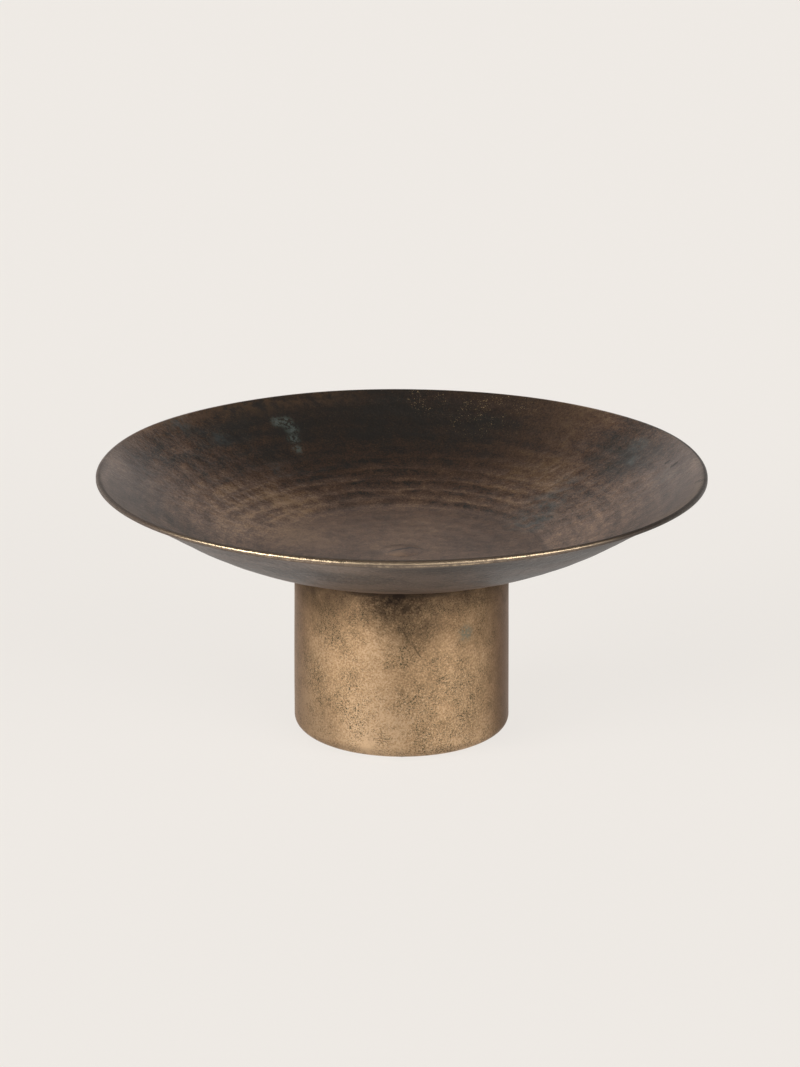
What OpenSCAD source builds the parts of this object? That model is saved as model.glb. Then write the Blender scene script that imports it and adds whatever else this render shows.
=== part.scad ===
// Footed bowl in hammered sheet metal: a shallow dish with a wired rim, bolted
// through its middle onto a round pedestal drum that stands on four felt pads.
// Millimetres, +Z up. The origin is on the bowl's axis, at the level of the table.

/* [Dish] */
// Diameter over the rolled rim
rim_d = 380; // [370:1:400]
// Height from the table to the top of the rim
bowl_h = 170; // [150:1:190]
// Thickness of the hammered sheet
sheet_t = 1; // [0.8:0.1:1.2]
// Diameter of the wire inside the rolled rim
wire_d = 0.9; // [0.8:0.1:1.6]
// How far round the wire the sheet is rolled, in degrees
roll_turn = 275; // [200:5:280]
// Slope of the straight outer part of the wall, in degrees
wall_slope = 33; // [31:0.5:34]
// Radius at which the straight part of the wall begins
wall_from = 152; // [145:1:158]
// Radius of the long curve between the straight wall and the floor
sweep_r = 222; // [215:1:240]
// Radius of the ring where the floor turns up into the wall
floor_edge_r = 92; // [88:1:96]
// Bend radius of that turn, seen from below
knee_r = 46; // [35:1:55]
// Slope of the floor, which falls gently towards the middle, in degrees
floor_slope = 1.5; // [1:0.1:2]
// Radius of the flat seat in the middle, under the bolt's head
seat_r = 16; // [15:0.5:20]

/* [Pedestal drum] */
// Outer diameter at the top, under the dish
drum_top_d = 134.6; // [125:0.2:140]
// Outer diameter at the foot
drum_foot_d = 136.6; // [136:0.2:142]
// Thickness of the drum's sheet
drum_t = 1.5; // [1.2:0.1:2]
// Radius of the rounded edge at the foot
foot_edge_r = 6.8; // [4:0.2:7]
// Width of the flat flange that is turned in under the foot
flange_w = 10; // [10:0.5:14]
// Thickness of the plate inside the top of the drum
top_plate_t = 3; // [2:0.5:4]

/* [Centre bolt] */
// Diameter of the bolt's plain shank
bolt_d = 7.8; // [7.8:0.1:7.9]
// Diameter of the bolt's low domed head
head_d = 26; // [22:1:28]
// Height of the domed head
head_h = 1.6; // [1.2:0.1:2]
// Length of the bolt under its head
bolt_len = 21; // [20.5:0.5:25]
// Clearance holes in the dish and the plates
clearance_d = 8.4; // [8.2:0.1:9]
// Diameter of the stiffening disc between the dish and the drum's plate
backing_d = 60; // [40:1:80]
// Thickness of the stiffening disc
backing_t = 3; // [2.5:0.5:4]

/* [Felt pads] */
// Diameter of one pad
pad_d = 9; // [7:0.5:9.5]
// Thickness of one pad
pad_t = 1.5; // [1:0.5:3]

/* [Hidden] */
PAD_COUNT = 4;
PAD_NODES = [for (i = [1:PAD_COUNT]) str("felt_pad_", i)];

$fn = 96;
wire_play = 0.05;

// Standard M8 washers and nut
washer_d = 16;
washer_bore = 8.4;
washer_t = 1.6;
spring_d = 14.8;
spring_bore = 8.2;
spring_t = 2;
spring_split = 1.5;
nut_flats = 13;
nut_h = 6.8;
nut_bore = 8;
nut_chamfer = 0.8;

// A point or direction on the curves of the dish, for a slope of a degrees
function bow(a) = [sin(a), -cos(a)];
function arc(centre, radius, from, to, steps) =
    [for (i = [0:steps]) centre + radius * [cos(from + (to - from) * i / steps),
                                            sin(from + (to - from) * i / steps)]];
function bowed(centre, radius, from, to, steps) = arc(centre, radius, from - 90, to - 90, steps);

// Rolled rim
eye_r = wire_d / 2 + wire_play;
bead_r = eye_r + sheet_t;
bead = [rim_d / 2 - bead_r, bowl_h - bead_r];
roll_from = 90 + wall_slope;
roll_to = roll_from - roll_turn;

// Underside of the dish: straight wall, long curve, knee, sloping floor, flat seat
wall_top = bead - eye_r * bow(wall_slope);
wall_foot = [wall_from, wall_top[1] - (wall_top[0] - wall_from) * tan(wall_slope)];
sweep_c = wall_foot - sweep_r * bow(wall_slope);
knee_slope = asin((floor_edge_r - sweep_c[0]) / sweep_r);
knee_c = sweep_c + (sweep_r - knee_r) * bow(knee_slope);
floor_rim = knee_c + knee_r * bow(floor_slope);
function underside(r) = floor_rim[1] - (floor_rim[0] - r) * tan(floor_slope);
seat_z = underside(seat_r);

// Pedestal drum
top_r = drum_top_d / 2;
foot_r = drum_foot_d / 2;
flange_r = foot_r - foot_edge_r - flange_w;

// Stack under the seat, from the dish downwards
backing_z = seat_z - backing_t;
plate_z = backing_z - top_plate_t;
washer_z = plate_z - washer_t;
spring_z = washer_z - spring_t;
nut_z = spring_z - nut_h;
head_z = seat_z + sheet_t;
pad_ring_r = flange_r + flange_w / 2;

module disc(d, bore, t) {
    difference() {
        cylinder(d = d, h = t);
        translate([0, 0, -1]) cylinder(d = bore, h = t + 2);
    }
}

// Hammered sheet with its edge rolled outwards round the wire
module dish() {
    hole_r = clearance_d / 2;
    lower = concat(
        [[hole_r, seat_z], [seat_r, seat_z]],
        bowed(knee_c, knee_r, floor_slope, knee_slope, 6),
        bowed(sweep_c, sweep_r, knee_slope, wall_slope, 14)
    );
    rolled = concat(
        arc(bead, eye_r, roll_from, roll_to, 22),
        arc(bead, bead_r, roll_to, roll_from, 22)
    );
    upper = concat(
        bowed(sweep_c, sweep_r - sheet_t, wall_slope, knee_slope, 14),
        bowed(knee_c, knee_r - sheet_t, knee_slope, floor_slope, 6),
        [[seat_r, head_z], [hole_r, head_z]]
    );
    color([0.27, 0.2, 0.16]) rotate_extrude() polygon(concat(lower, rolled, upper));
}

// Stiffening wire that the rim is rolled round
module rim_wire() {
    color([0.72, 0.45, 0.2]) rotate_extrude() translate(bead) circle(d = wire_d, $fn = 24);
}

// Bolt with a wide, low head that is hammered flush with the dish's floor
module center_bolt() {
    dome_r = (pow(head_d / 2, 2) + pow(head_h, 2)) / (2 * head_h);
    color([0.33, 0.24, 0.18]) {
        translate([0, 0, head_z - bolt_len]) cylinder(d = bolt_d, h = bolt_len + head_h / 2);
        intersection() {
            translate([0, 0, head_z + head_h - dome_r]) sphere(r = dome_r);
            translate([0, 0, head_z]) cylinder(d = head_d, h = head_h + 1);
        }
    }
}

// Disc that spreads the bolt's pull under the thin floor of the dish
module backing_plate() {
    color([0.68, 0.52, 0.3]) translate([0, 0, backing_z]) disc(backing_d, clearance_d, backing_t);
}

// Rolled and brazed sheet, with its foot turned in to a flat flange
module pedestal_drum() {
    outer_edge = [foot_r - foot_edge_r, pad_t + foot_edge_r];
    outline = concat(
        [[top_r, underside(top_r)]],
        arc(outer_edge, foot_edge_r, 0, -90, 10),
        [[flange_r, pad_t], [flange_r, pad_t + drum_t]],
        arc(outer_edge, foot_edge_r - drum_t, -90, 0, 10),
        [[top_r - drum_t, underside(top_r - drum_t)]]
    );
    color([0.6, 0.48, 0.33]) rotate_extrude() polygon(outline);
}

// Plate brazed across the inside of the drum, just below its top edge
module top_plate() {
    color([0.64, 0.5, 0.32])
        translate([0, 0, plate_z]) disc(drum_top_d - 2 * drum_t, clearance_d, top_plate_t);
}

module plain_washer() {
    color([0.7, 0.7, 0.68]) translate([0, 0, washer_z]) disc(washer_d, washer_bore, washer_t);
}

// Split lock washer
module spring_washer() {
    color([0.5, 0.5, 0.5]) translate([0, 0, spring_z]) difference() {
        disc(spring_d, spring_bore, spring_t);
        translate([0, -spring_split / 2, -1]) cube([spring_d, spring_split, spring_t + 2]);
    }
}

module hex_nut() {
    corner_r = nut_flats / 2 / cos(30);
    color([0.66, 0.66, 0.64]) translate([0, 0, nut_z]) difference() {
        intersection() {
            cylinder(r = corner_r, h = nut_h, $fn = 6);
            union() {
                cylinder(r1 = corner_r - nut_chamfer, r2 = corner_r, h = nut_chamfer);
                translate([0, 0, nut_chamfer]) cylinder(r = corner_r, h = nut_h - nut_chamfer);
            }
        }
        translate([0, 0, -1]) cylinder(d = nut_bore, h = nut_h + 2);
    }
}

module felt_pad(i) {
    color([0.16, 0.14, 0.13])
        rotate(360 * (i - 1) / PAD_COUNT) translate([pad_ring_r, 0, 0]) cylinder(d = pad_d, h = pad_t);
}

dish();
rim_wire();
center_bolt();
backing_plate();
pedestal_drum();
top_plate();
plain_washer();
spring_washer();
hex_nut();
for (i = [1:PAD_COUNT]) {
    felt_pad(i);
}
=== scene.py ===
"""Looks of the footed bowl: a hammered dish, a pedestal drum and what holds them together."""
import math

import bpy
import numpy as np
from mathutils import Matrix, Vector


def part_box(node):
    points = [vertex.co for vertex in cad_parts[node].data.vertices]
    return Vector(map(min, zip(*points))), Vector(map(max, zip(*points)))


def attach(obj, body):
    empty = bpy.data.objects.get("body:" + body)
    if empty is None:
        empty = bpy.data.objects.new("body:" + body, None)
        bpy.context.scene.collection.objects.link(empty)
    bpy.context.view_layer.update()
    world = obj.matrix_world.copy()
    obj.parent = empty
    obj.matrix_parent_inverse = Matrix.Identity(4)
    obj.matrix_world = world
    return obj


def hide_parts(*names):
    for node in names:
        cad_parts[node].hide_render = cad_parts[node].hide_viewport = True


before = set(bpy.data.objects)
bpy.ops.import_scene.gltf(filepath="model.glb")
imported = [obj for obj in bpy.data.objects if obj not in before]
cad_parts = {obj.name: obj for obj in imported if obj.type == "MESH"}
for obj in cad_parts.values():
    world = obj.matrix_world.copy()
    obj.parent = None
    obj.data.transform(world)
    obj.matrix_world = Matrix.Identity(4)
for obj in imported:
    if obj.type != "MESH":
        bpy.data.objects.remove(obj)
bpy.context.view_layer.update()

MM = 0.001
TURN = 2 * math.pi

# The dish's sheet, in the same terms as the CAD model
DISH_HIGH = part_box("dish")[1]
RIM_R = DISH_HIGH.x
RIM_TOP = DISH_HIGH.z
SHEET = 1.0 * MM
WALL_SLOPE = math.radians(33)
WALL_FROM = 152 * MM
SWEEP_R = 222 * MM
FLOOR_EDGE_R = 92 * MM
KNEE_R = 46 * MM
FLOOR_SLOPE = math.radians(1.5)
SEAT_R = 16 * MM
HOLE_R = 4.2 * MM

# The rolled rim: thicker at the front than the CAD model's, whose wall it meets with a swell
ROLL_TURN = math.radians(275)
WIRE_R = 1.2 * MM
EYE_R = 1.5 * MM
BEAD_R = EYE_R + SHEET
CAD_BEAD_R = 1.5 * MM
SWELL = (BEAD_R - CAD_BEAD_R) * (1 - math.cos(WALL_SLOPE) + math.sin(WALL_SLOPE))
THIN_ROLL = 0.64
FRONT_LIFT = 0.2 * MM
BACK_LIFT = 1.1 * MM
RIM_WAVE_R = 0.35 * MM
RIM_WAVE_Z = 0.3 * MM

# Hammer marks, in rings that start at the floor's edge
FIRST_RING_R = 91.2 * MM
RING_PITCH = 9.6 * MM
RING_GROWTH = 0.16 * MM
WALL_RINGS = 9
FLOOR_RINGS = (80, 69, 55, 42, 29)
MARK_SPACING = 13.4 * MM
MARK_CURVE = 48 * MM
MARK_STRETCH = 2.0
MARK_DEPTH = 0.32 * MM

# The pedestal drum's sheet
DRUM_LOW, DRUM_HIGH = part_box("pedestal_drum")
DRUM_FOOT_R = DRUM_HIGH.x
DRUM_TOP_R = 67.3 * MM
DRUM_SHEET = 1.5 * MM
FOOT_EDGE_R = 6.8 * MM
FLANGE_R = 51.5 * MM
DRUM_WAVE = 0.16 * MM

# The centre bolt
BOLT_LOW, BOLT_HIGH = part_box("center_bolt")
HEAD_H = 1.6 * MM
SHANK_R = 3.9 * MM
THREAD_PITCH = 1.25 * MM
THREAD_DEPTH = 0.6 * MM

# Studio
PAPER = "ede9e4"
FLOOR_HALF = 12.0
FLOOR_GLOW = 0.897
WALL_REACH = 11.5
WALL_TOP = 9.0
HORIZON_GLOW = 0.03
VAULT_GLOW = 0.01


# ---------------------------------------------------------------- geometry

def bow(slope):
    """Unit vector (r, z) from the centre of an upward curve to its point of that slope."""
    return np.array([math.sin(slope), -math.cos(slope)])


def arc(centre, radius, start, stop, count):
    """Points (r, z) on an arc, with the angles in radians."""
    angles = np.linspace(start, stop, count)
    return centre + radius * np.stack([np.cos(angles), np.sin(angles)], 1)


def underside():
    """The centre of the rolled edge, and the dish's underside from the hole to the rim in close
    steps: radius, height and slope."""
    bead = np.array([RIM_R - BEAD_R, RIM_TOP - BEAD_R])
    wall_top = bead - (EYE_R - SWELL) * bow(WALL_SLOPE)
    drop = (wall_top[0] - WALL_FROM) * math.tan(WALL_SLOPE)
    wall_foot = np.array([WALL_FROM, wall_top[1] - drop])
    sweep = wall_foot - SWEEP_R * bow(WALL_SLOPE)
    knee_slope = math.asin((FLOOR_EDGE_R - sweep[0]) / SWEEP_R)
    knee = sweep + (SWEEP_R - KNEE_R) * bow(knee_slope)
    floor_rim = knee + KNEE_R * bow(FLOOR_SLOPE)
    seat_z = floor_rim[1] - (floor_rim[0] - SEAT_R) * math.tan(FLOOR_SLOPE)

    def straight(start, stop, slope):
        t = np.linspace(0, 1, 200, endpoint=False)[:, None]
        return np.hstack([start + (stop - start) * t, np.full_like(t, slope)])

    def curve(centre, radius, start, stop):
        slopes = np.linspace(start, stop, 400, endpoint=False)
        points = [np.append(centre + radius * bow(s), s) for s in slopes]
        return np.array(points)

    return bead, np.vstack([
        straight(np.array([HOLE_R, seat_z]), np.array([SEAT_R, seat_z]), 0.0),
        straight(np.array([SEAT_R, seat_z]), floor_rim, FLOOR_SLOPE),
        curve(knee, KNEE_R, FLOOR_SLOPE, knee_slope),
        curve(sweep, SWEEP_R, knee_slope, WALL_SLOPE),
        straight(wall_foot, wall_top, WALL_SLOPE),
        [[*wall_top, WALL_SLOPE]],
    ])


def resample(path, spacing):
    """The path's columns at even steps along it, and the distance run to each."""
    steps = np.hypot(*np.diff(path[:, :2], axis=0).T)
    run = np.concatenate([[0], np.cumsum(steps)])
    at = np.linspace(0, run[-1], int(run[-1] / spacing) + 1)
    return np.stack([np.interp(at, run, column) for column in path.T], 1), at


def grid_mesh(name, points, closed, attributes=None, sharp=50):
    """A mesh from rows of points round the axis. Closed joins the last row to the first;
    otherwise the first and last rows shrink to one point each."""
    rows, columns = points.shape[:2]
    index = np.arange(rows * columns).reshape(rows, columns)
    upper = np.roll(index, -1, 0) if closed else index[1:]
    lower = index if closed else index[:-1]
    quads = np.stack([lower, np.roll(lower, -1, 1), np.roll(upper, -1, 1), upper], -1)
    faces = [tuple(q) for q in quads.reshape(-1, 4).tolist()]
    vertices = points.reshape(-1, 3)
    if not closed:
        first, last = rows * columns, rows * columns + 1
        faces += [(first, index[0][(i + 1) % columns], index[0][i]) for i in range(columns)]
        faces += [(last, index[-1][i], index[-1][(i + 1) % columns]) for i in range(columns)]
        vertices = np.vstack([vertices, points[0].mean(0), points[-1].mean(0)])
    mesh = bpy.data.meshes.new(name)
    mesh.from_pydata(vertices.tolist(), [], faces)
    for key, values in (attributes or {}).items():
        flat = np.broadcast_to(values, (rows, columns)).ravel()
        flat = np.append(flat, [0.0] * (len(vertices) - len(flat)))
        layer = mesh.attributes.new(key, "FLOAT", "POINT")
        layer.data.foreach_set("value", flat.astype(np.float32))
    outwards(mesh)
    mesh.shade_smooth()
    mesh.set_sharp_from_angle(angle=math.radians(sharp))
    piece = bpy.data.objects.new(name, mesh)
    bpy.context.scene.collection.objects.link(piece)
    return piece


def outwards(mesh):
    """Turns the faces over if the mesh's volume comes out negative."""
    mesh.calc_loop_triangles()
    count = len(mesh.loop_triangles)
    corners = np.zeros(count * 3, np.int32)
    mesh.loop_triangles.foreach_get("vertices", corners)
    place = np.zeros(len(mesh.vertices) * 3)
    mesh.vertices.foreach_get("co", place)
    a, b, c = place.reshape(-1, 3)[corners.reshape(-1, 3)].transpose(1, 0, 2)
    if (a * np.cross(b, c)).sum() < 0:
        mesh.flip_normals()


def around(radius, height, angles):
    """Points for arrays of radius and height; angle 0 faces -Y and turns towards +X."""
    angles = np.broadcast_to(angles, radius.shape)
    return np.stack([radius * np.sin(angles), -radius * np.cos(angles), height], -1)


def ripple(angles, along, seed, waves, pitch):
    """Smooth random unevenness of about unit size, over the angle and a length."""
    draw = np.random.default_rng(seed)
    total = np.zeros(np.broadcast(angles, along).shape)
    for _ in range(waves):
        turns = draw.integers(1, 9)
        climb = draw.uniform(-1, 1) * TURN / pitch
        total += np.cos(turns * angles + climb * along + draw.uniform(0, TURN))
    return total / math.sqrt(waves)


def hammer_rings(run_of):
    """Each ring of marks: distance along the sheet, radius, depth and curve of its marks, which
    are shallower and flatter on the floor."""
    rings = []
    for radius in FLOOR_RINGS:
        radius *= MM
        rings.append((run_of(radius), radius, 0.45 * MARK_DEPTH, 1.5 * MARK_CURVE))
    for j in range(WALL_RINGS):
        radius = FIRST_RING_R + RING_PITCH * j + RING_GROWTH * j * j
        rings.append((run_of(radius), radius, MARK_DEPTH, MARK_CURVE))
    return rings


def hammered(radius, run, angles, run_of):
    """Height of the hammered face over the smooth sheet: shallow marks side by side in wavy
    rings, long enough to run together into a groove."""
    draw = np.random.default_rng(7)
    # How softly marks run together, the crest between them and where a mark's bowl is cut off
    soft, ridge, far = 0.03 * MM, 0.05 * MM, 0.5 * MM
    total = np.full(np.broadcast(radius, angles).shape, math.exp(-ridge / soft))
    for ring_run, ring_r, depth, curve in hammer_rings(run_of):
        count = int(round(TURN * ring_r / MARK_SPACING))
        start = draw.uniform(0, TURN)
        slip = draw.normal(0, 0.8 * MM, (count, 2))
        deep = depth * draw.uniform(0.6, 1.3, count)
        place = ((angles - start) % TURN) / TURN * count
        wave = 0.7 * MM * ripple(angles, 0 * angles, int(ring_r / MM), 5, 1)
        for side in (0, 1):
            mark = np.floor(place).astype(int) + side
            which = mark % count
            across = (place - mark) * TURN * radius / count - slip[which, 0]
            down = run - ring_run - wave - slip[which, 1]
            bowl = across**2 / (2 * MARK_STRETCH * curve) + down**2 / (2 * curve) - deep[which]
            total += np.exp(-np.minimum(bowl, far) / soft)
    return -soft * np.log(total)


def rim_bead(bead):
    """Outline of the rolled edge, slightly flattened on its outer side: roll, end, eye."""
    start = math.pi / 2 + WALL_SLOPE
    roll = arc(bead, BEAD_R, start, start - ROLL_TURN, 44)
    roll[:, 0] = np.minimum(roll[:, 0], bead[0] + 0.9 * BEAD_R) + 0.1 * BEAD_R * np.clip(
        (roll[:, 0] - bead[0]) / BEAD_R, 0, 1)
    eye = arc(bead, EYE_R, start - ROLL_TURN, start, 9)
    return roll, eye


def dish_piece():
    """The hammered dish as one closed sheet with its edge rolled over the wire."""
    columns = 512
    angles = np.linspace(0, TURN, columns, endpoint=False)[None, :]
    bead, path = underside()
    fine, fine_run = resample(path, 1.9 * MM)
    coarse, coarse_run = resample(path, 6 * MM)

    def run_of(radius):
        return float(np.interp(radius, fine[:, 0], fine_run))

    def face(stations, run, lift, strength):
        r, z, slope = (stations[:, i:i + 1] for i in range(3))
        dents = hammered(r, run[:, None], angles, run_of)
        calm = (np.clip((r - SEAT_R) / (8 * MM), 0, 1)
                * np.clip((RIM_R - 5 * MM - r) / (8 * MM), 0, 1))
        swell = np.clip((r - RIM_R + 18 * MM) / (14 * MM), 0, 1)
        rise = lift + strength * dents * calm + SWELL * swell**2 * (3 - 2 * swell)
        return r - np.sin(slope) * rise, z + np.cos(slope) * rise, dents

    top_r, top_z, dents = face(fine[:-1], fine_run[:-1], SHEET, 1.0)
    low_r, low_z, _ = face(coarse[:-1], coarse_run[:-1], 0.0, 0.5)
    roll, eye = rim_bead(bead)

    def ring(points):
        return (np.repeat(points[:, i:i + 1], columns, 1) for i in range(2))

    roll_r, roll_z = ring(roll)
    eye_r, eye_z = ring(eye)
    radius = np.vstack([top_r, roll_r, eye_r, low_r[::-1]])
    height = np.vstack([top_z, roll_z, eye_z, low_z[::-1]])
    rolled = slice(len(top_r), len(top_r) + len(roll) + len(eye))
    radius[rolled], height[rolled] = thinned(radius[rolled], height[rolled], angles, bead)
    radius, height = hand_made(radius, height, angles)
    hollow = np.zeros(radius.shape)
    hollow[:len(top_r)] = np.clip(-dents / MARK_DEPTH, 0, 1.2)
    return grid_mesh("hammered_dish", around(radius, height, angles), True,
                     {"hollow": hollow, **rim_values(len(radius), len(top_r), roll - bead)})


def bulge(angles, middle, width):
    """1 at an angle round the axis, falling away smoothly on both sides."""
    return np.exp(-(((angles - middle + math.pi) % TURN - math.pi) / width) ** 2)


def roll_size(angles):
    """Size of the rolled edge round the rim: full at the front, thinner elsewhere."""
    return THIN_ROLL + (1 - THIN_ROLL) * bulge(angles, -0.06, 0.42)


def thinned(radius, height, angles, bead):
    """Shrinks the rolled edge to its size at each angle, towards where it meets the wall."""
    joint_r = bead[0] - BEAD_R * math.sin(WALL_SLOPE)
    joint_z = bead[1] + BEAD_R * math.cos(WALL_SLOPE)
    size = roll_size(angles)
    return joint_r + size * (radius - joint_r), joint_z + size * (height - joint_z)


def hand_made(radius, height, angles):
    """The dish out of true by hand: an uneven rim, higher at the back and the very front."""
    share = (radius / RIM_R) ** 3
    spread = (1 - roll_size(angles)) * BEAD_R * (1 + math.sin(WALL_SLOPE))
    rear = np.clip((0.2 - np.cos(angles)) / 0.7, 0, 1)
    lift = BACK_LIFT * rear**2 * (3 - 2 * rear) + FRONT_LIFT * bulge(angles, 0, 0.55)
    wave_r = RIM_WAVE_R * ripple(angles, 0 * radius, 3, 5, 1)
    wave_z = RIM_WAVE_Z * ripple(angles, 0 * radius, 4, 5, 1)
    return radius + share * (wave_r + spread), height + share * (wave_z + lift)


def rim_values(rows, first, spokes):
    """How much each row of the dish belongs to the inside, the rolled edge, the edge's top
    darkened with patina and painted shade, and its rubbed front, from the direction in which the
    roll's points face."""
    facing = np.degrees(np.arctan2(spokes[:, 1], spokes[:, 0]))
    upper = (facing > -60) & (facing < 130)
    values = {key: np.zeros((rows, 1)) for key in ("inside", "edge", "lip", "crown", "thread")}
    roll = slice(first, first + len(spokes))
    values["inside"][:first] = 1.0
    values["inside"][roll, 0] = np.clip((facing - 25) / 20, 0, 1) * upper
    values["edge"][roll, 0] = np.clip((112 - facing) / 10, 0, 1) * (facing > -95)
    values["lip"][roll, 0] = np.clip((facing - 47) / 8, 0, 1) * upper
    shine = np.clip((54 - facing) / 8, 0, 1) * np.clip((facing - 2) / 10, 0, 1)
    values["crown"][roll, 0] = shine
    values["thread"][roll, 0] = np.exp(-((facing + 17) / 9) ** 2)
    return values


def wire_piece():
    """The wire inside the rolled edge."""
    columns = 256
    angles = np.linspace(0, TURN, columns, endpoint=False)[None, :]
    centre = np.array([RIM_R - BEAD_R, RIM_TOP - BEAD_R])
    outline = arc(centre, WIRE_R, 0, TURN, 13)[:-1]
    radius = np.repeat(outline[:, :1], columns, 1)
    height = np.repeat(outline[:, 1:], columns, 1)
    radius, height = hand_made(*thinned(radius, height, angles, centre), angles)
    return grid_mesh("edge_wire", around(radius, height, angles), True)


def drum_piece():
    """The rolled pedestal drum with its turned-in foot."""
    columns = 384
    angles = np.linspace(0, TURN, columns, endpoint=False)[None, :]
    foot_z = DRUM_LOW.z
    corner = np.array([DRUM_FOOT_R - FOOT_EDGE_R, foot_z + FOOT_EDGE_R])
    side_top = DRUM_HIGH.z
    steps = np.linspace(0, 1, 62)
    wall = np.stack([DRUM_TOP_R + (DRUM_FOOT_R - DRUM_TOP_R) * steps,
                     side_top + (corner[1] - side_top) * steps], 1)
    outer = arc(corner, FOOT_EDGE_R, 0, -math.pi / 2, 12)[1:]
    flat_r, bevel = 57 * MM, 0.3 * MM
    flange_top = foot_z + DRUM_SHEET
    flange = np.array([[flat_r, foot_z], [FLANGE_R + bevel, foot_z], [FLANGE_R, foot_z + bevel],
                       [FLANGE_R, flange_top - bevel], [FLANGE_R + bevel, flange_top]])
    inner = arc(corner, FOOT_EDGE_R - DRUM_SHEET, -math.pi / 2, 0, 10)
    back = wall[::-3] - [DRUM_SHEET, 0]
    back = back[back[:, 1] > corner[1] + 1 * MM]
    outline = np.vstack([wall, outer, flange, inner, back])
    radius = np.repeat(outline[:, :1], columns, 1)
    height = np.repeat(outline[:, 1:], columns, 1)
    share = np.clip((height - foot_z) / (8 * MM), 0, 1)
    radius += share * DRUM_WAVE * ripple(angles, height, 11, 9, 90 * MM)
    return grid_mesh("brass_drum", around(radius, height, angles), True, sharp=60)


def bolt_piece():
    """The centre bolt: a low hammered head on a threaded shank."""
    head_r, head_low = BOLT_HIGH.x, BOLT_HIGH.z - HEAD_H
    columns = 96
    angles = np.linspace(0, TURN, columns, endpoint=False)[None, :]
    across = np.linspace(0.02, 1, 22)
    dome = np.stack([head_r * across, BOLT_HIGH.z - HEAD_H * across**2], 1)
    shank = np.stack([np.full(110, SHANK_R), np.linspace(head_low - 0.2 * MM, BOLT_LOW.z, 110)], 1)
    outline = np.vstack([dome, [[SHANK_R, head_low]], shank, [[0.2 * MM, BOLT_LOW.z]]])
    radius = np.repeat(outline[:, :1], columns, 1)
    height = np.repeat(outline[:, 1:], columns, 1)
    on_head = np.arange(len(outline))[:, None] < len(dome)
    inwards = 1 - radius / head_r
    swirl = np.cos(3 * angles + 420 * radius) * (radius / head_r) * inwards
    height = height - on_head * 0.5 * MM * (swirl + 1) * (radius / head_r < 0.99) * inwards
    on_shank = (np.abs(outline[:, :1] - SHANK_R) < 1e-6) & (height < head_low - 1 * MM)
    thread = np.abs((height / THREAD_PITCH + angles / TURN) % 1 - 0.5) * 2
    radius = radius - on_shank * THREAD_DEPTH * thread
    return grid_mesh("bolt_and_head", around(radius, height, angles), False,
                     {"inside": on_head * 1.0, "hollow": on_head * 0.2}, 70)


def felt_piece(node):
    """A pressed felt pad, a little smaller than its CAD node, with soft edges and uneven faces."""
    low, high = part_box(node)
    centre, thick = (low + high) / 2, high.z - low.z
    inset = 1.2 * MM
    radius = (high.x - low.x) / 2 - inset
    columns = 48
    angles = np.linspace(0, TURN, columns, endpoint=False)[None, :]
    soft = 0.45 * MM
    top = np.stack([np.linspace(0.3 * MM, radius - soft, 8), np.full(8, high.z)], 1)
    side = np.vstack([arc(np.array([radius - soft, high.z - soft]), soft, math.pi / 2, 0, 5),
                      arc(np.array([radius - soft, low.z + soft]), soft, 0, -math.pi / 2, 5)])
    bottom = top[::-1] - [0, thick]
    outline = np.vstack([top, side[1:-1], bottom])
    r = np.repeat(outline[:, :1], columns, 1)
    z = np.repeat(outline[:, 1:], columns, 1)
    draw = np.random.default_rng(int(node[-1]))
    r = r + draw.normal(0, 0.05 * MM, r.shape) * (r / radius) ** 2
    z = z + draw.uniform(0, 0.06 * MM, z.shape) * np.sign(centre.z - z)
    points = around(r, z, angles)
    points[..., :2] += [centre.x, centre.y]
    return grid_mesh("felt_" + node[-1], points, False, sharp=80)


# ---------------------------------------------------------------- materials

def colour(text):
    """Linear colour from a hexadecimal sRGB one."""
    parts = [int(text[i:i + 2], 16) / 255 for i in (0, 2, 4)]
    return [p / 12.92 if p <= 0.04045 else ((p + 0.055) / 1.055) ** 2.4 for p in parts] + [1.0]


def point(angle, radius, height):
    """A point in metres, from its angle in degrees from -Y towards +X, radius and height in mm."""
    turn = math.radians(angle)
    return radius * MM * math.sin(turn), -radius * MM * math.cos(turn), height * MM


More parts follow.
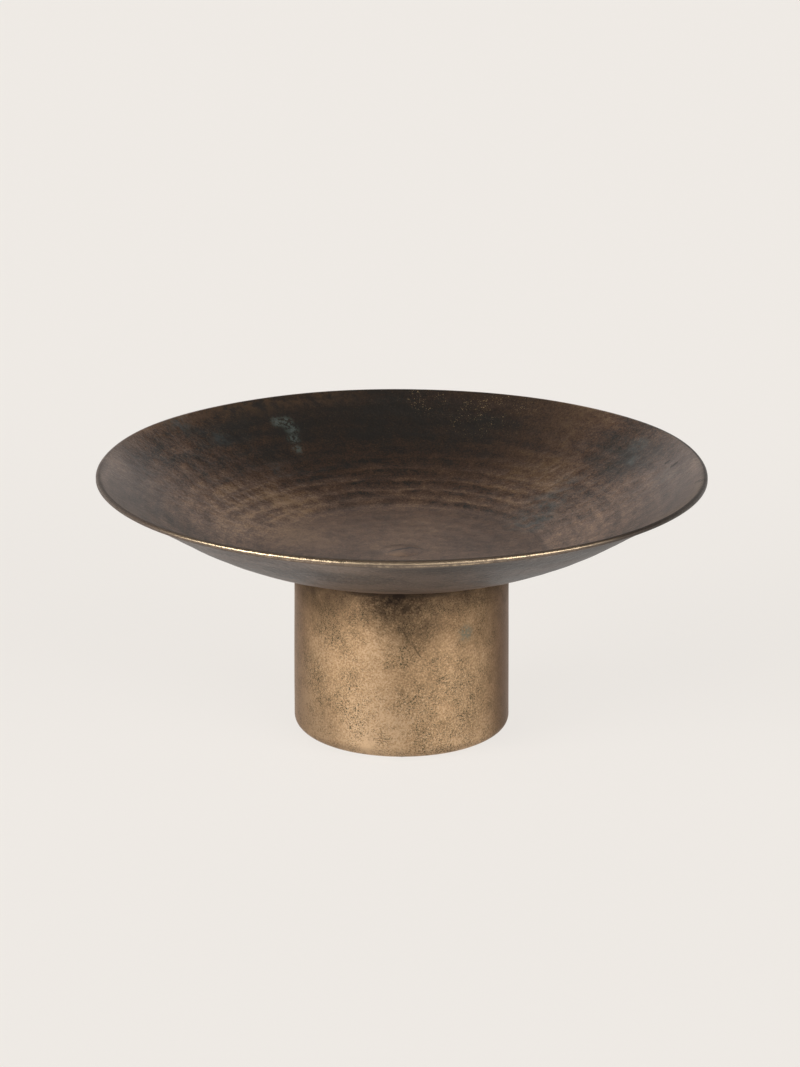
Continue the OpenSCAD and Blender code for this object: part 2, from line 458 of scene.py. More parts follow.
class Finish:
    """A material under construction, with one short method for each kind of node."""

    def __init__(self, name):
        self.material = bpy.data.materials.new(name)
        self.material.use_nodes = True
        self.tree = self.material.node_tree
        self.shader = self.tree.nodes["Principled BSDF"]
        self.place = self.node("TexCoord", output="Object")
        x, y, z = self.split(self.place)
        self.height = z
        flat = self.join(x, y, 0.0)
        self.radius = self.node("VectorMath", flat, operation="LENGTH", output="Value")
        self.facing = self.node("VectorMath", flat, operation="NORMALIZE")

    def node(self, kind, *inputs, output=0, **settings):
        made = self.tree.nodes.new("ShaderNode" + kind)
        for key, value in settings.items():
            setattr(made, key, value)
        for socket, value in zip(made.inputs, inputs):
            self.feed(socket, value)
        return made.outputs[output]

    def feed(self, socket, value):
        if isinstance(value, bpy.types.NodeSocket):
            self.tree.links.new(value, socket)
        else:
            socket.default_value = value

    def split(self, vector):
        made = self.tree.nodes.new("ShaderNodeSeparateXYZ")
        self.feed(made.inputs[0], vector)
        return made.outputs

    def join(self, x, y, z):
        return self.node("CombineXYZ", x, y, z)

    def maths(self, operation, a, b=0.0):
        return self.node("Math", a, b, operation=operation)

    def times(self, a, b):
        return self.maths("MULTIPLY", a, b)

    def plus(self, a, b):
        return self.maths("ADD", a, b)

    def most(self, a, b):
        return self.maths("MAXIMUM", a, b)

    def flip(self, value):
        """1 less the value."""
        return self.maths("SUBTRACT", 1.0, value)

    def stretch(self, around_scale, along_scale, shift=0.0):
        """Coordinates that run round the axis and along radius and height, with no seam."""
        turned = self.node("VectorMath", self.facing, operation="SCALE")
        turned.node.inputs["Scale"].default_value = around_scale
        x, y, _ = self.split(turned)
        along = self.times(self.maths("SUBTRACT", self.radius, self.height), along_scale)
        return self.join(x, y, self.plus(along, shift))

    def noise(self, scale, detail=3.0, rough=0.5, place=None, twist=0.0):
        made = self.tree.nodes.new("ShaderNodeTexNoise")
        self.feed(made.inputs["Vector"], place or self.place)
        for key, value in (("Scale", scale), ("Detail", detail), ("Roughness", rough),
                           ("Distortion", twist)):
            made.inputs[key].default_value = value
        return made.outputs["Fac"]

    def step(self, value, low, high, to=1.0):
        """0 below low, rising smoothly to the given value above high."""
        made = self.tree.nodes.new("ShaderNodeMapRange")
        made.interpolation_type = "SMOOTHSTEP"
        for key, item in (("Value", value), ("From Min", low), ("From Max", high), ("To Max", to)):
            self.feed(made.inputs[key], item)
        return made.outputs["Result"]

    def fade(self, value, low, high):
        """1 below low, falling smoothly to 0 above high."""
        return self.flip(self.step(value, low, high))

    def mix(self, share, a, b):
        made = self.tree.nodes.new("ShaderNodeMix")
        made.data_type = "RGBA"
        for key, item in (("Factor_Float", share), ("A_Color", a), ("B_Color", b)):
            socket = next(s for s in made.inputs if s.identifier == key)
            self.feed(socket, item)
        return next(s for s in made.outputs if s.identifier == "Result_Color")

    def near(self, angle, radius, height, size):
        """1 at a point given by angle, radius and height, fading to 0 at size from it, in mm."""
        gap = self.node("VectorMath", self.place, point(angle, radius, height),
                        operation="DISTANCE", output="Value")
        return self.fade(gap, 0.25 * size * MM, size * MM)

    def toward(self, angle, wide, narrow):
        """1 on the side of the axis that faces an angle from -Y, fading to 0 beyond wide."""
        way = point(angle, 1 / MM, 0)
        share = self.node("VectorMath", self.facing, way, operation="DOT_PRODUCT", output="Value")
        return self.step(share, math.cos(math.radians(wide)), math.cos(math.radians(narrow)))

    def line(self, start, stop, size):
        """1 along a straight line between two points, fading to 0 at size from it, in metres."""
        way = Vector(stop) - Vector(start)
        gap = self.node("VectorMath", self.place, tuple(start), operation="SUBTRACT")
        share = self.node("VectorMath", gap, tuple(way / way.length_squared),
                          operation="DOT_PRODUCT", output="Value")
        share = self.maths("MINIMUM", self.most(share, 0.0), 1.0)
        nearest = self.node("VectorMath", self.join(share, share, share), tuple(way),
                            operation="MULTIPLY")
        gap = self.node("VectorMath", gap, nearest, operation="DISTANCE", output="Value")
        return self.fade(gap, 0.25 * size, size)

    def weigh(self, *parts):
        """Sum of (input - middle) times weight, for each (input, weight, middle)."""
        total = 0.0
        for value, weight, middle in parts:
            total = self.node("Math", value, weight, self.constant(total, weight * middle),
                              operation="MULTIPLY_ADD")
        return total

    def constant(self, total, less):
        """The running total less a constant, as a number for as long as it can be one."""
        if isinstance(total, float):
            return total - less
        return total if less == 0 else self.maths("SUBTRACT", total, less)

    def ramp(self, value, *stops):
        """Colours at values, blended evenly between them."""
        made = self.tree.nodes.new("ShaderNodeValToRGB")
        low, high = stops[0][0], stops[-1][0]
        span = self.maths("DIVIDE", self.maths("SUBTRACT", value, low), high - low)
        self.feed(made.inputs["Fac"], span)
        bands = made.color_ramp.elements
        while len(bands) < len(stops):
            bands.new(0.5)
        for band, (at, text) in zip(bands, stops):
            band.position = (at - low) / (high - low)
            band.color = colour(text)
        return made.outputs["Color"]

    def value(self, name):
        made = self.tree.nodes.new("ShaderNodeAttribute")
        made.attribute_name = name
        return made.outputs["Fac"]

    def bump(self, height, distance, strength, below=None):
        made = self.tree.nodes.new("ShaderNodeBump")
        made.inputs["Strength"].default_value = strength
        made.inputs["Distance"].default_value = distance
        self.feed(made.inputs["Height"], height)
        if below is not None:
            self.feed(made.inputs["Normal"], below)
        return made.outputs["Normal"]

    def surface(self, base, rough, metallic, normal=None, **fixed):
        self.feed(self.shader.inputs["Base Color"], base)
        self.feed(self.shader.inputs["Roughness"], rough)
        self.feed(self.shader.inputs["Metallic"], metallic)
        if normal is not None:
            self.feed(self.shader.inputs["Normal"], normal)
        for key, item in fixed.items():
            self.shader.inputs[key.replace("_", " ")].default_value = item
        return self.material


def dish_texture(f, hollow, wall):
    """Ageing that is alike all round: mottle, streaks along the rings, grain and ring steps."""
    mottle = f.noise(75, 6, 0.68, twist=0.5)
    rings = f.noise(1.0, 5, 0.62, f.stretch(5, 260))
    lines = f.noise(1.0, 3, 0.6, f.stretch(2.2, 560, 3.0))
    streaks = f.times(wall, f.weigh((rings, 0.8, 0.5), (lines, 0.5, 0.5)))
    grain = f.times(f.plus(f.times(wall, 0.8), 1.0), f.weigh((f.noise(900, 2, 0.7), 0.75, 0.5)))
    return f.weigh((mottle, 0.6, 0.5), (f.noise(260, 3, 0.6), 0.5, 0.5),
                   (f.noise(13, 3, 0.5), 0.8, 0.5), (streaks, 1.0, 0.0), (grain, 1.0, 0.0),
                   (hollow, 0.08, 0.3), (ring_steps(f), 1.0, 0.0))


def dish_age(f, hollow):
    """How aged the dish is at a point: below 0 rubbed to tan, above 0 dark with patina, and darker
    on the back wall with sooty patina and painted shade.
    """
    wall = f.step(f.radius, 70 * MM, 100 * MM)
    texture = dish_texture(f, hollow, wall)
    # Sooty patina and painted shade darken the back wall
    soot_and_shade = f.times(f.near(196, 172, 157, 165), f.step(f.radius, 100 * MM, 160 * MM))
    left = f.near(255, 150, 148, 100)
    right = f.near(110, 150, 148, 110)
    worn = f.near(242, 98, 121, 62)
    bright = f.times(hollow, f.near(243, 145, 145, 50))
    back = f.times(f.near(180, 105, 124, 75), wall)
    rimward = f.step(f.radius, 170 * MM, 186 * MM)
    age = f.weigh((texture, 1.0, 0.0), (soot_and_shade, 0.36, 0.0), (left, 0.14, 0.0), (right, 0.06, 0.0),
                  (worn, -0.24, 0.0), (bright, -0.4, 0.0), (back, -0.05, 0.0),
                  (rimward, -0.12, 0.0))
    # Smaller darker and lighter spots: angle, radius, height, size and how much they darken
    for *spot, shade in ((118.5, 176, 162, 46, 0.31), (129, 178, 163, 30, 0.1),
                         (238, 171, 159, 38, 0.22), (205.5, 165, 155, 22, 0.1),
                         (141, 125, 132, 42, -0.2), (135, 139, 139, 30, -0.12),
                         (220.5, 121, 130, 40, -0.2), (262, 56, 117, 34, -0.14),
                         (261.5, 123, 131, 40, -0.16), (106, 66, 117, 36, 0.1),
                         (152, 115, 126, 40, -0.11)):
        age = f.weigh((age, 1.0, 0.0), (f.near(*spot), shade, 0.0))
    return age


def ring_steps(f):
    """Age along the ridges between the rings of marks: a thin rubbed crest that wanders and
    breaks off, and the shade that deepens towards it from the inner side."""
    wander = f.weigh((f.noise(40, 2, 0.5), 7 * MM, 0.5), (f.noise(130, 3, 0.6), 4 * MM, 0.5),
                     (f.radius, 1.0, 0.0))
    lap = f.maths("FRACT", f.maths("DIVIDE", f.maths("SUBTRACT", wander, 66 * MM), 10 * MM))
    zone = f.times(f.step(f.radius, 66 * MM, 92 * MM), f.fade(f.radius, 118 * MM, 150 * MM))
    zone = f.plus(f.times(zone, 0.8), f.times(f.step(f.radius, 100 * MM, 130 * MM), 0.2))
    zone = f.times(zone, f.step(f.noise(28, 3, 0.5), 0.36, 0.6))
    zone = f.times(zone, f.plus(f.times(f.toward(190, 80, 40), 0.6), 0.4))
    zone = f.times(zone, f.flip(f.times(f.toward(95, 55, 25), 0.85)))
    zone = f.times(zone, f.flip(f.times(f.toward(240, 50, 20), 0.4)))
    crest = f.times(f.fade(lap, 0.05, 0.4), f.step(lap, 0.0, 0.06))
    shade = f.times(f.step(lap, 0.4, 0.9), f.fade(lap, 0.94, 1.0))
    blots = f.plus(f.step(f.noise(150, 3, 0.6), 0.4, 0.6), 0.35)
    return f.times(zone, f.weigh((f.times(shade, blots), 0.24, 0.0), (crest, -0.22, 0.0)))


def dish_stains(f, base):
    """Local marks on the dish's upper face, from the widest stain to the smallest nick, with sooty
    patina and painted shade at the back wall, painted shade and a painted highlight at the bolt's
    head, and a painted sheen near the tips.
    """
    # Sooty patina and painted shade pull the back wall towards a cool charcoal
    soot_and_shade = f.times(f.near(180, 172, 157, 200), f.step(f.radius, 100 * MM, 170 * MM))
    base = f.mix(f.times(soot_and_shade, 0.68), base, colour("302c29"))
    strip = f.times(f.step(f.radius, 173 * MM, 186 * MM), f.toward(222, 40, 20))
    strip = f.times(strip, f.step(f.noise(120, 4, 0.7), 0.38, 0.6))
    base = f.mix(f.times(strip, 0.55), base, colour("6a523e"))
    base = f.mix(f.times(verdigris(f), 0.7), base, colour("6c7872"))
    base = f.mix(f.times(bluish_bloom(f), 0.6), base, colour("505a5a"))
    base = f.mix(glints(f), base, colour("f0cf9a"))
    base = boss_shade_and_highlight(f, base)
    # Painted reflection: a grey sheen on the wall near both tips
    sheen = f.most(f.toward(-84, 34, 12), f.toward(88, 36, 12))
    sheen = f.times(f.times(sheen, f.step(f.radius, 130 * MM, 185 * MM)), 0.6)
    base = f.mix(sheen, base, colour("67615f"))
    return f.mix(f.times(nicks(f), 0.8), base, colour("1e1917"))


def verdigris(f):
    """A crooked run of pale green down the wall at the back left."""
    green = 0.0
    for spot in ((209.4, 170, 159, 6.5), (207.4, 169, 158, 7.5), (206.8, 163, 155, 7),
                 (207.4, 156, 150.5, 6.5), (207.8, 148, 145, 5.5)):
        green = f.most(green, f.near(*spot))
    return f.times(green, f.step(f.noise(420, 4, 0.7), 0.43, 0.54))


def bluish_bloom(f):
    """Cloudy bluish spots, each with its own strength."""
    bloom = 0.0
    for *spot, strength in ((125, 114, 128, 20, 0.9), (120, 96, 120, 24, 1.0),
                            (118, 175, 161, 11, 1.0), (114.5, 164.5, 154.5, 10, 1.0),
                            (98, 170, 158, 16, 0.6), (126.5, 132, 135, 13, 0.8),
                            (233, 187, 169, 16, 1.0), (225.5, 166, 156, 10, 0.9),
                            (216.5, 135, 136, 11, 0.8)):
        bloom = f.most(bloom, f.times(f.near(*spot), strength))
    return f.times(bloom, f.step(f.noise(110, 5, 0.7), 0.42, 0.6))


def glints(f):
    """Bright specks, thick near the back rim and sparse elsewhere on the wall."""
    glint = f.times(f.step(f.noise(1100, 2, 0.6), 0.62, 0.7), 0.8)
    patch = f.most(f.near(161, 185, 168, 50), f.near(166, 174, 162, 26))
    patch = f.most(patch, f.near(175, 184, 167, 22))
    patch = f.plus(f.times(patch, 0.8), f.times(f.step(f.radius, 70 * MM, 100 * MM), 0.09))
    return f.times(glint, f.times(patch, f.step(f.noise(90, 3, 0.6), 0.42, 0.6)))


def nicks(f):
    """Short nicks in the wall at the right, given by angle, inner and outer radius, and size."""
    _, path = underside()
    face = 1.5 * SHEET

    def place(angle, radius):
        height = float(np.interp(radius * MM, path[:, 0], path[:, 1])) + face
        return point(angle, radius, height / MM)

    total = 0.0
    for angle, inner, outer, size in ((117.3, 181, 184, 1.5), (104.2, 173.5, 175.5, 1.7),
                                      (101, 174, 177.5, 1.7), (83.5, 182.5, 184.5, 2.1),
                                      (82.5, 185, 187, 2.1)):
        total = f.most(total, f.line(place(angle, inner), place(angle, outer), size * MM))
    return total


def boss_shade_and_highlight(f, base):
    """Dark creases of painted shade in the sheet where it was hammered down round the bolt's head,
    given by the x and y of their ends and their size, and a painted highlight on the head."""
    level = BOLT_HIGH.z
    fold_shade = f.times(f.near(-72, 18, level / MM, 11), 0.3)
    for *ends, size in ((-9, -5, 5, 2.5, 1.6), (5, 3.5, 12, 3, 1.8), (12, 3, 18, -1.5, 2.2)):
        x, y, to_x, to_y = (end * MM for end in ends)
        fold_shade = f.most(fold_shade, f.line((x, y, level), (to_x, to_y, level), size * MM))
    joint = f.fade(f.maths("ABSOLUTE", f.maths("SUBTRACT", f.radius, 13.3 * MM)),
                   0.3 * MM, 1.2 * MM)
    fold_shade = f.most(fold_shade, f.times(joint, 0.2))
    base = f.mix(f.times(fold_shade, 0.95), base, colour("1f1b19"))
    # A painted highlight on the bolt's head
    light = f.near(-20, 9, level / MM, 7)
    return f.mix(f.times(light, 0.35), base, colour("a08367"))


def under_colour(f, clouds):
    """The dish's underside: smoky strokes round the axis, darker at the right, a painted brown
    reflection of the drum near it, painted cool highlights at both ends of that, and a pale and a
    dark patch in front."""
    strokes = f.noise(1.0, 5, 0.7, f.stretch(2.0, 120, 5.0))
    under = f.ramp(f.weigh((strokes, 3.2, 0.5), (clouds, 0.6, 0.5),
                           (f.noise(500, 3, 0.7), 2.0, 0.5)),
                   (-0.3, "5a4d46"), (0.0, "483e38"), (0.3, "35302d"))
    under = f.mix(f.times(f.toward(80, 62, 25), 0.8), under, colour("2b2522"))
    # Painted reflection of the brass drum: brown on the underside near it, at the front
    glow = f.times(f.fade(f.radius, 76 * MM, 138 * MM), f.toward(2, 62, 34))
    under = f.mix(f.times(glow, 0.8), under, colour("5d4130"))
    # Painted highlights: cool grey at both ends of the drum's reflection
    ends = f.most(f.toward(-62, 26, 8), f.toward(58, 22, 6))
    ends = f.times(f.fade(f.radius, 80 * MM, 120 * MM), ends)
    under = f.mix(f.times(ends, 0.45), under, colour("6c6e70"))
    for angle, size, share, tint in ((-12, 26, 0.3, "8a7a6d"), (7, 38, 0.35, "2b2522")):
        under = f.mix(f.times(f.near(angle, 176, 161, size), share), under, colour(tint))
    return under


def bare_metal(f, clouds):
    """Where the front of the rim is rubbed bright: a broken band and a thin thread below it."""
    crown = f.value("crown")
    worn = f.weigh((f.noise(260, 4, 0.7), 1.6, 0.5), (clouds, 1.0, 0.5), (crown, 1.2, 0.6))
    bare = f.times(f.times(crown, f.toward(-4, 48, 24)), f.step(worn, -0.1, 0.35))
    dull = f.times(f.step(crown, 0.72, 0.95), f.toward(4.5, 15, 10))
    bare = f.times(bare, f.flip(f.times(dull, 0.6)))
    thread = f.times(f.times(f.value("thread"), f.toward(-3, 25, 14)), f.step(worn, -0.9, -0.2))
    return f.most(bare, thread)


def dish_relief(f):
    """Fine relief under the patina: grain, mottle, and pocks on the wall."""
    normal = f.bump(f.noise(900, 2, 0.7), 0.12 * MM, 0.6)
    normal = f.bump(f.noise(75, 6, 0.68, twist=0.5), 0.5 * MM, 0.4, normal)
    pocks = f.times(f.noise(280, 2, 0.5), f.step(f.radius, 90 * MM, 120 * MM))
    return f.bump(pocks, 0.6 * MM, 0.8, normal)


def dish_finish():
    """Dark brown copper patina: rubbed tan on the crests, charcoal in the hollows."""
    f = Finish("dish_patina")
    inside, edge, lip = (f.value(name) for name in ("inside", "edge", "lip"))
    age = dish_age(f, f.value("hollow"))
    brown = f.ramp(age, (-0.45, "95785a"), (-0.15, "745a48"), (0.1, "594539"), (0.42, "33322f"))
    clouds = f.noise(16, 3, 0.5)
    base = f.mix(inside, under_colour(f, clouds), dish_stains(f, brown))
    front = f.toward(0, 105, 55)
    # Dark patina and painted shade along the top of the rolled edge, at the front
    lip = f.times(lip, front)
    base = f.mix(f.times(lip, 0.9), base, colour("1d1815"))
    base = f.mix(f.times(f.times(edge, front), 0.6), base, colour("64574b"))
    # Painted shade on the rolled edge's right side
    base = f.mix(f.times(f.times(edge, f.toward(82, 55, 30)), 0.8), base, colour("2b2521"))
    bare = bare_metal(f, clouds)
    base = f.mix(bare, base, colour("b8a589"))
    rough = f.weigh((age, 0.2, 0.0), (bare, -0.24, 0.0), (edge, 0.04, 0.0), (lip, 0.25, 0.0),
                    (inside, -0.04, 0.0))
    metal = f.plus(f.times(bare, 0.25), 0.75)
    return f.surface(base, f.plus(rough, 0.5), metal, dish_relief(f), Coat_Weight=0.15,
                     Coat_Roughness=0.38)


def on_drum(f, angle, height, size):
    """1 at a point on the drum's side, fading to 0 at size from it, in millimetres."""
    return f.near(angle, DRUM_TOP_R / MM, height, size)


def drum_finish():
    """Satin antique brass: fine crinkled dark speckle, flanks browner with painted shade, and sooty
    darkening with painted shade towards the top.
    """
    f = Finish("drum_brass")
    clouds = f.noise(15, 4, 0.6)
    patches = f.noise(40, 5, 0.68)
    wavy = f.noise(480, 3, 0.65, twist=1.2)
    # The height term makes the drum darker towards the top: painted shade of the dish above it
    base = f.ramp(f.weigh((clouds, 1.0, 0.5), (patches, 0.5, 0.5), (f.noise(800, 3, 0.7), 1.8, 0.5),
                          (f.height, 4.0, 0.05)),
                  (-0.3, "b99e7f"), (0.0, "a38767"), (0.3, "876e53"))
    # Painted shade: the flanks made darker brown, the right one most
    flank_shade = f.most(f.toward(97, 54, 22), f.times(f.toward(-100, 50, 25), 0.6))
    base = f.mix(f.times(flank_shade, 0.85), base, colour("412a1e"))
    dark = drum_speckle(f, wavy, patches)
    base = f.mix(dark, base, colour("3f3d30"))
    for *spot, share in ((-45, 102, 34, 0.4), (38, 94, 42, 0.4), (-46, 10, 32, 0.3),
                         (0, -6, 18, 0.15)):
        base = f.mix(f.times(on_drum(f, *spot), share), base, colour("4c3b2b"))
    # Sooty darkening and painted shadow of the dish at the top of the drum
    soot_and_shade = drum_soot_and_shade(f)
    base = f.mix(f.times(soot_and_shade, 0.95), base, colour("211a15"))
    base = drum_marks(f, base)
    rough = f.weigh((dark, 0.12, 0.0), (soot_and_shade, 0.2, 0.0), (1.0, 0.38, 0.0))
    normal = f.bump(wavy, 0.2 * MM, 0.6)
    normal = f.bump(f.noise(1000, 2, 0.7), 0.08 * MM, 0.5, normal)
    return f.surface(base, rough, 0.95, normal, Specular_Tint=colour("f4e8e0"))


def drum_speckle(f, wavy, patches):
    """Fine dark creases and dots, crowded into some patches and along the foot."""
    crease = f.fade(f.maths("ABSOLUTE", f.maths("SUBTRACT", wavy, 0.5)), 0.008, 0.02)
    dots = f.step(f.noise(1100, 2, 0.7), 0.56, 0.59)
    crowd = f.weigh((patches, 2.2, 0.5), (f.noise(120, 4, 0.6), 1.4, 0.5))
    for spot in ((-26, 41, 14), (-27, 26, 14), (9.5, 39, 18), (34.5, 28, 18), (-3, 68, 13),
                 (-57, 50, 17), (-42, 82, 15), (28.5, 48, 14), (41.5, 99, 16)):
        crowd = f.weigh((crowd, 1.0, 0.0), (on_drum(f, *spot), 0.3, 0.0))
    foot = f.times(f.fade(f.height, 3 * MM, 9 * MM), 0.35)
    crowd = f.weigh((crowd, 1.0, 0.0), (foot, 1.0, 0.0))
    return f.times(f.most(crease, dots), f.step(crowd, -0.4, 0.5))


def drum_soot_and_shade(f):
    """Sooty darkening and painted shade under the dish, deepest at the front: a ragged band and a
    wedge that hangs from it, both painted shadow of the dish, a dark line of painted shade along
    the joint and five dense sooty cores."""
    uneven = f.plus(f.times(f.noise(60, 4, 0.6), 22 * MM), f.height)
    ragged = f.step(f.noise(200, 5, 0.7), 0.3, 0.62)
    # Painted shadow of the dish: a ragged band round the top and a wedge below its front
    band = f.step(uneven, 95 * MM, 123 * MM)
    wedge = f.most(on_drum(f, -2, DRUM_HIGH.z / MM - 2, 46), f.times(on_drum(f, 6, 94, 32), 0.7))
    wedge = f.times(wedge, f.plus(f.times(ragged, 0.3), 0.68))
    soot_and_shade = f.most(f.times(band, 0.85), wedge)
    # Painted shade in dark lines along the joint with the dish
    seam = f.times(f.step(uneven, 114 * MM, 122 * MM), f.toward(4, 62, 40))
    joint = f.times(f.times(f.step(f.height, 101 * MM, 108 * MM), 0.97), f.toward(-2, 52, 20))
    soot_and_shade = f.most(soot_and_shade, f.most(seam, joint))
    for angle, size, share in ((-12, 18, 0.98), (-3, 19, 1.1), (7, 16, 1.0), (-24, 10, 0.7),
                               (17, 11, 0.7)):
        core = f.times(on_drum(f, angle, 109, size), f.plus(f.times(ragged, 0.3), share - 0.3))
        soot_and_shade = f.most(soot_and_shade, core)
    return soot_and_shade


def drum_marks(f, base):
    """A verdigris blotch and a hairline crease on the front."""
    blotch = f.times(f.near(35.5, 68, 80, 8), f.step(f.noise(500, 4, 0.7), 0.38, 0.55))
    base = f.mix(f.times(blotch, 0.8), base, colour("5f6054"))
    knots = [point(angle, DRUM_TOP_R / MM, height) for angle, height in (
        (-4, 93), (-1, 88), (1.5, 84), (3.6, 79), (6.6, 75), (9.5, 69))]
    line = 0.0
    for start, stop in zip(knots, knots[1:]):
        line = f.most(line, f.line(start, stop, 0.9 * MM))
    line = f.times(line, f.step(f.noise(260, 4, 0.7), 0.4, 0.56))
    return f.mix(f.times(line, 0.65), base, colour("352c22"))


def plain_metal(name, light, dark, rough, scale=60):
    """A dull sheet or fastener metal with blotches and fine scratches."""
    f = Finish(name)
    blotch = f.noise(scale, 4, 0.6)
    scratch = f.noise(14, 3, 0.6, f.stretch(3, 900))
    base = f.mix(f.step(blotch, 0.35, 0.65), colour(dark), colour(light))
    uneven = f.plus(f.step(scratch, 0.3, 0.7, 0.15), rough)
    return f.surface(base, uneven, 1.0, f.bump(scratch, 0.05 * MM, 0.4))


def felt_finish():
    """Dark pressed felt with short fibres."""
    f = Finish("pad_felt")
    fibre = f.noise(1500, 4, 0.8, twist=1.5)
    base = f.mix(f.step(fibre, 0.35, 0.65), colour("14110f"), colour("3a332e"))
    return f.surface(base, 0.95, 0.0, f.bump(fibre, 0.3 * MM, 0.8), Sheen_Weight=0.4)


# ---------------------------------------------------------------- assembly

def dress(piece, material, slot, *nodes):
    """Gives a new piece its material and its body, and hides the CAD nodes it stands for. The slot
    is not used.
    """
    piece.data.materials.clear()
    piece.data.materials.append(material)
    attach(piece, "root")
    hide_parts(*nodes)


def refinish(node, material):
    """A carried-over CAD node gets a finished material."""
    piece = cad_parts[node]
    if not piece.material_slots:
        piece.data.materials.append(material)
    for item in piece.material_slots:
        item.link = "OBJECT"
        item.material = material


def build_pieces():
    """Every piece of the bowl, each with its finish."""
    patina = dish_finish()
    dress(dish_piece(), patina, "dish_copper", "dish")
    dress(drum_piece(), drum_finish(), "drum_brass", "pedestal_drum")
    dress(bolt_piece(), patina, "bolt_bronze", "center_bolt")
    felt = felt_finish()
    for node in sorted(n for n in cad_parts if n.startswith("felt_pad")):
        dress(felt_piece(node), felt, "pad_felt", node)
    sheet_brass = plain_metal("sheet_brass", "a08456", "6d5838", 0.42)
    refinish("backing_plate", sheet_brass)
    refinish("top_plate", sheet_brass)
    zinc = plain_metal("zinc_steel", "b9b9b4", "8d8f8d", 0.3, scale=250)
    for node in ("plain_washer", "spring_washer", "hex_nut"):
        refinish(node, zinc)
    copper = plain_metal("bright_copper", "c98a63", "a86e4b", 0.3)
    dress(wire_piece(), copper, "wire_copper", "rim_wire")


def stage_floor():
    """A wide pale floor that fills the view, mostly self-lit so that it stays even."""
    mesh = bpy.data.meshes.new("floor")
    corners = [(x * FLOOR_HALF, y * FLOOR_HALF, 0) for x, y in ((-1, -1), (1, -1), (1, 1), (-1, 1))]
    mesh.from_pydata(corners, [], [(0, 1, 2, 3)])
    floor = bpy.data.objects.new("floor", mesh)
    bpy.context.scene.collection.objects.link(floor)
    finish = Finish("floor_paint")
    finish.surface([0.13, 0.125, 0.12, 1], 1.0, 0.0, Emission_Color=colour(PAPER),
                   Emission_Strength=FLOOR_GLOW, Specular_IOR_Level=0.0)
    mesh.materials.append(finish.material)


def stage_backdrop():
    """A far pale wall for low views. Only the camera sees it, so it takes no light away."""
    count = 96
    turns = np.linspace(0, TURN, count, endpoint=False)
    ring = np.stack([WALL_REACH * np.cos(turns), WALL_REACH * np.sin(turns), 0 * turns], 1)
    vertices = np.vstack([ring, ring + [0, 0, WALL_TOP]]).tolist()
    faces = [(i, (i + 1) % count, count + (i + 1) % count, count + i) for i in range(count)]
    mesh = bpy.data.meshes.new("backdrop")
    mesh.from_pydata(vertices, [], faces)
    wall = bpy.data.objects.new("backdrop", mesh)
    bpy.context.scene.collection.objects.link(wall)
    finish = Finish("backdrop_paint")
    finish.surface([0, 0, 0, 1], 1.0, 0.0, Emission_Color=colour(PAPER), Emission_Strength=1.0,
                   Specular_IOR_Level=0.0)
    mesh.materials.append(finish.material)
    for kind in ("diffuse", "glossy", "transmission", "volume_scatter", "shadow"):
        setattr(wall, "visible_" + kind, False)


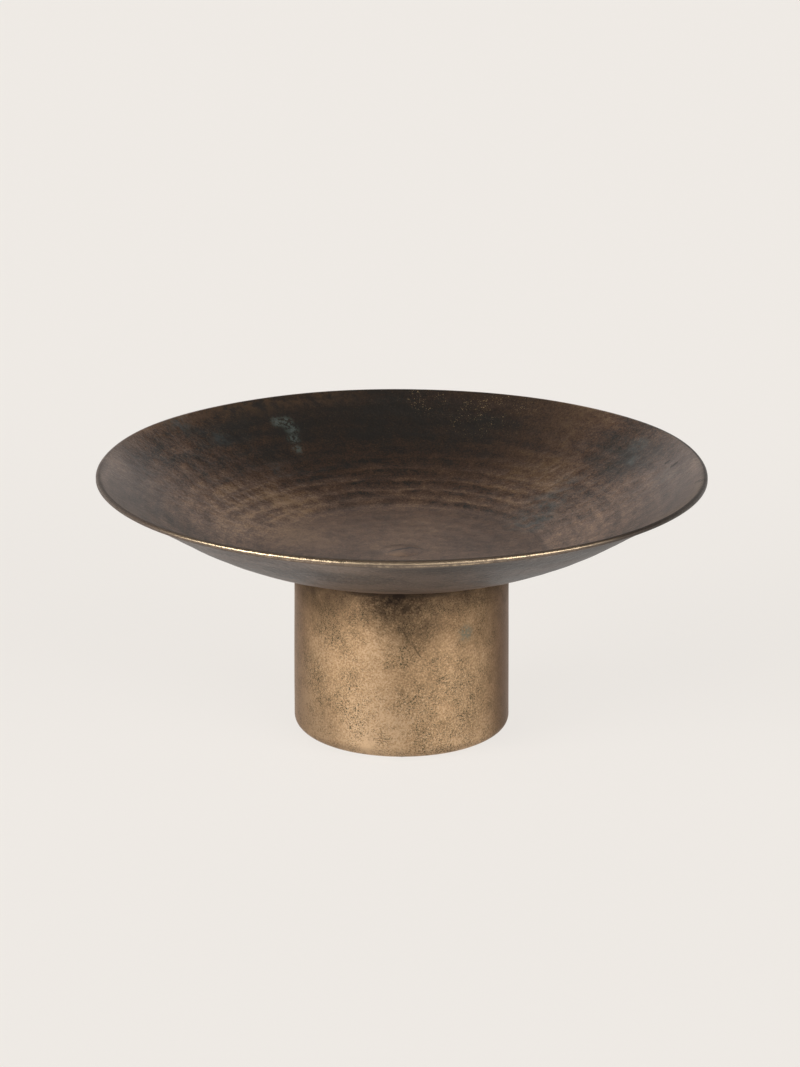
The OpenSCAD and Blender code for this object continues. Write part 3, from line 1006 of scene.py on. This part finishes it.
def sky(tree, *glows):
    """Brightness of the studio by direction: a dim vault, a lighter horizon and soft glows
    given by azimuth from -Y towards +X, height above the horizon, width and strength."""
    def node(kind, operation, *inputs):
        made = tree.nodes.new(kind)
        made.operation = operation
        for socket, item in zip(made.inputs, inputs):
            if isinstance(item, bpy.types.NodeSocket):
                tree.links.new(item, socket)
            else:
                socket.default_value = item
        return made.outputs["Value"]

    way = tree.nodes.new("ShaderNodeTexCoord").outputs["Generated"]
    split = tree.nodes.new("ShaderNodeSeparateXYZ")
    tree.links.new(way, split.inputs[0])
    rise = node("ShaderNodeMath", "MULTIPLY", split.outputs[2], -1 / 0.7)
    total = node("ShaderNodeMath", "ADD", rise, 1.0)
    total = node("ShaderNodeMath", "MAXIMUM", total, 0.0)
    total = node("ShaderNodeMath", "MULTIPLY_ADD", total, HORIZON_GLOW, VAULT_GLOW)
    for azimuth, height, width, strength in glows:
        turn, lift = math.radians(azimuth), math.radians(height)
        aim = (math.sin(turn) * math.cos(lift), -math.cos(turn) * math.cos(lift), math.sin(lift))
        share = node("ShaderNodeVectorMath", "DOT_PRODUCT", way, aim)
        soft = tree.nodes.new("ShaderNodeMapRange")
        soft.interpolation_type = "SMOOTHSTEP"
        soft.inputs["From Min"].default_value = math.cos(math.radians(width))
        soft.inputs["From Max"].default_value = math.cos(math.radians(0.35 * width))
        tree.links.new(share, soft.inputs["Value"])
        total = node("ShaderNodeMath", "MULTIPLY_ADD", soft.outputs[0], strength, total)
    return node("ShaderNodeMath", "MAXIMUM", total, 0.0)


def light_scene():
    """A studio of soft glows far away, so that the floor is lit evenly, and two wide lamps. The
    glows are four low ones in front, three behind and two higher in front."""
    world = bpy.data.worlds.new("studio")
    bpy.context.scene.world = world
    world.use_nodes = True
    tree = world.node_tree
    back = tree.nodes["Background"]
    back.inputs["Color"].default_value = colour("fffaf5")
    glow = sky(tree, (-34, 9, 24, 4.6), (-62, 9, 24, 12.4), (60, 9, 24, 6.8), (33, 9, 24, 7.0),
               (150, 14, 26, 1.0), (180, 32, 26, 0.8), (210, 20, 26, 1.1),
               (-54, 43, 14, 2.1), (62, 43, 14, 1.8))
    tree.links.new(glow, back.inputs["Strength"])
    for name, azimuth, height, power in (("key", -50, 50, 0.12), ("fill", 55, 45, 0.08)):
        light = bpy.data.lights.new(name, "SUN")
        light.angle = math.radians(60)
        light.energy = power
        lamp = bpy.data.objects.new(name, light)
        lamp.rotation_euler = (math.radians(90 - height), 0, math.radians(azimuth))
        bpy.context.scene.collection.objects.link(lamp)


def place_camera():
    """A long lens above the rim, looking down a little, with its tilt and turn in degrees."""
    tilt, turn = 17.45, 0.034
    data = bpy.data.cameras.new("camera")
    data.sensor_width = 36
    data.lens = 103.5
    data.clip_end = 50
    camera = bpy.data.objects.new("camera", data)
    camera.location = (0, -1.836, 0.704)
    camera.rotation_euler = (math.radians(90 - tilt), 0, math.radians(turn))
    bpy.context.scene.collection.objects.link(camera)
    bpy.context.scene.camera = camera


place_camera()
bpy.context.scene.view_settings.view_transform = "Standard"
stage_floor()
stage_backdrop()
light_scene()
build_pieces()
